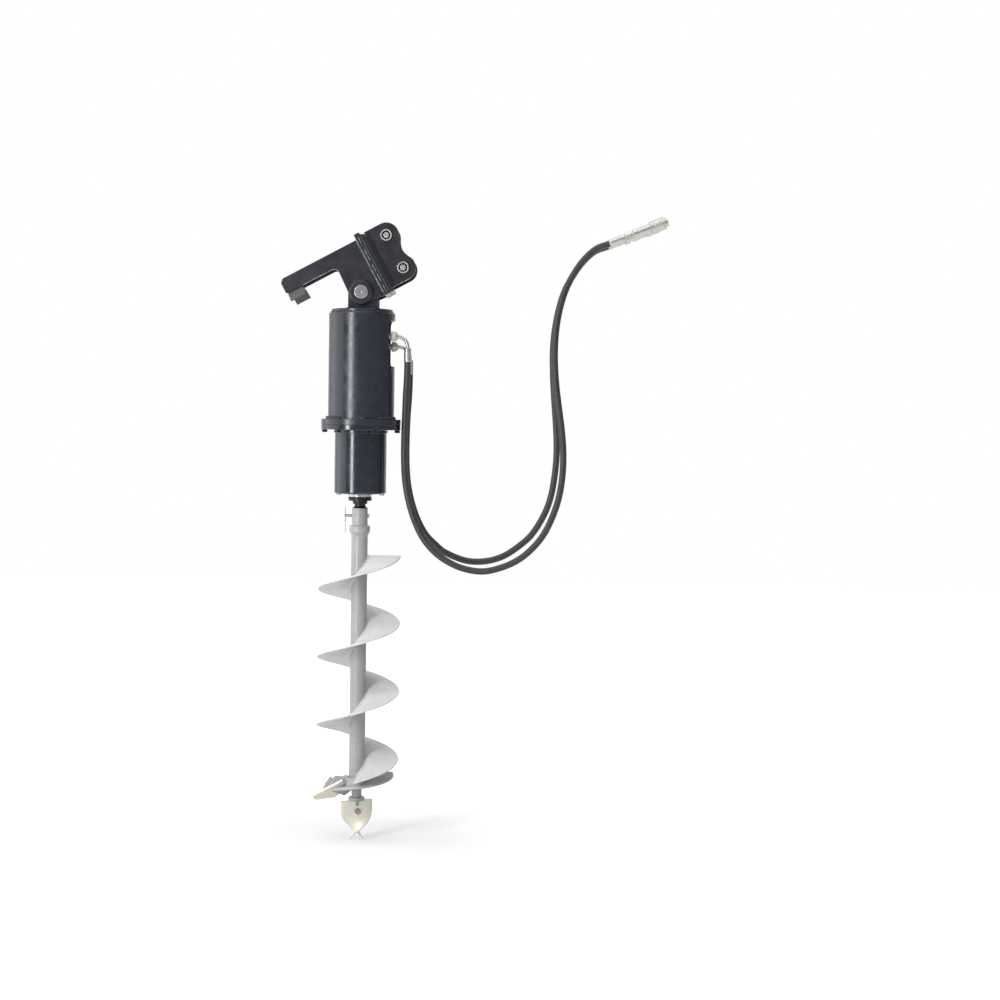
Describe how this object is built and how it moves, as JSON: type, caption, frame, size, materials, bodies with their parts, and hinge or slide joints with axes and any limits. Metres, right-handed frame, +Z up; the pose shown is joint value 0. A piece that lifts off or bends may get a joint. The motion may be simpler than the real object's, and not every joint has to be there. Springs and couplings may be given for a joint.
{
  "type": "earth auger drive",
  "caption": "Hydraulic earth auger drive that swings in a pinned hitch frame with a cradle arm, with planetary gearbox, two hoses and a pinned auger bit.",
  "frame": {"origin": "midway between the two hitch pins, on the middle plane", "axes": "+X towards the carrying machine, +Z up, the auger hangs down -Z"},
  "size_m": [1.4056, 0.3048, 2.3024],
  "materials": {
    "frame_paint": "satin dark slate",
    "saddle_steel": "worn grey paint",
    "bright_steel": "zinc plated",
    "dark_steel": "black oxide",
    "machined_steel": "machined",
    "pale_paint": "pale grey",
    "hard_facing": "pale gold",
    "hose_rubber": "matte black"
  },
  "bodies": {
    "hitch": {"frame_plate_front": "frame_paint", "frame_plate_rear": "frame_paint", "frame_mount_plate": "frame_paint", "hitch_base_plate": "frame_paint", "hitch_ear_front": "frame_paint", "hitch_ear_rear": "frame_paint", "pivot_boss_front": "frame_paint", "pivot_boss_rear": "frame_paint", "upper_hitch_pin": "bright_steel", "lower_hitch_pin": "bright_steel", "upper_pin_bolt": "bright_steel", "lower_pin_bolt": "bright_steel", "pivot_pin": "bright_steel", "pivot_pin_keeper": "bright_steel", "supply_coupler": "bright_steel", "return_coupler": "bright_steel", "cradle_saddle": "saddle_steel", "supply_hose": "hose_rubber", "return_hose": "hose_rubber"},
    "drive": {"lug_front": "frame_paint", "lug_rear": "frame_paint", "top_cap": "frame_paint", "motor_housing": "frame_paint", "gearbox_case": "frame_paint", "upper_port_adapter": "bright_steel", "lower_port_adapter": "bright_steel", "upper_swivel_nut": "bright_steel", "lower_swivel_nut": "bright_steel", "upper_hose_elbow": "bright_steel", "lower_hose_elbow": "bright_steel", "pivot_tube": "machined_steel", "motor_mount_plate": "machined_steel", "ring_gear": "machined_steel", "upper_bearing": "machined_steel", "lower_bearing": "machined_steel", "shaft_seal_cover": "machined_steel", "motor_body": "dark_steel", "flange_bolt_1": "dark_steel", "flange_bolt_2": "dark_steel", "flange_bolt_3": "dark_steel", "flange_bolt_4": "dark_steel", "flange_bolt_5": "dark_steel", "flange_bolt_6": "dark_steel"},
    "output": {"planet_carrier": "machined_steel", "output_shaft": "dark_steel", "shaft_slinger": "dark_steel", "pilot_bolt": "dark_steel", "auger_tube": "pale_paint", "flighting": "pale_paint", "cutter_head": "pale_paint", "pilot_shank": "pale_paint", "cutting_blade": "hard_facing", "pilot_point": "hard_facing", "bit_cross_pin": "bright_steel", "hairpin_clip": "bright_steel"},
    "sun": {"sun_gear": "machined_steel"},
    "planet_1": {"planet_gear_1": "machined_steel"},
    "planet_2": {"planet_gear_2": "machined_steel"},
    "planet_3": {"planet_gear_3": "machined_steel"},
    "sleeve": {"coupler_sleeve": "bright_steel"}
  },
  "joints": [
    {"name": "drive_swing", "type": "hinge", "parent": "hitch", "child": "drive", "pos_m": [-0.11973, 0, -0.14789], "axis": [0, 1, 0], "range_deg": [-25, 57], "deforming": ["supply_hose", "return_hose"]},
    {"name": "output_spin", "type": "hinge", "parent": "drive", "child": "output", "pos_m": [-0.11973, 0, -0.14789], "axis": [0, 0, 1], "continuous": true},
    {"name": "sun_spin", "type": "hinge", "parent": "drive", "child": "sun", "pos_m": [-0.11973, 0, -0.14789], "axis": [0, 0, 1], "continuous": true},
    {"name": "planet_1_spin", "type": "hinge", "parent": "output", "child": "planet_1", "pos_m": [-0.07473, 0, -0.14789], "axis": [0, 0, 1], "continuous": true},
    {"name": "planet_2_spin", "type": "hinge", "parent": "output", "child": "planet_2", "pos_m": [-0.14223, 0.03897, -0.14789], "axis": [0, 0, 1], "continuous": true},
    {"name": "planet_3_spin", "type": "hinge", "parent": "output", "child": "planet_3", "pos_m": [-0.14223, -0.03897, -0.14789], "axis": [0, 0, 1], "continuous": true},
    {"name": "sleeve_slide", "type": "slide", "parent": "hitch", "child": "sleeve", "axis": [-0.9314, 0, -0.3641], "range_m": [0, 0.008], "stiffness_N_per_m": 1500, "springref_m": -0.004}
  ],
  "couplings": [
    {"joint": "sun_spin", "follows": "output_spin", "ratio": 5},
    {"joint": "planet_1_spin", "follows": "output_spin", "ratio": -2.6667},
    {"joint": "planet_2_spin", "follows": "output_spin", "ratio": -2.6667},
    {"joint": "planet_3_spin", "follows": "output_spin", "ratio": -2.6667}
  ]
}
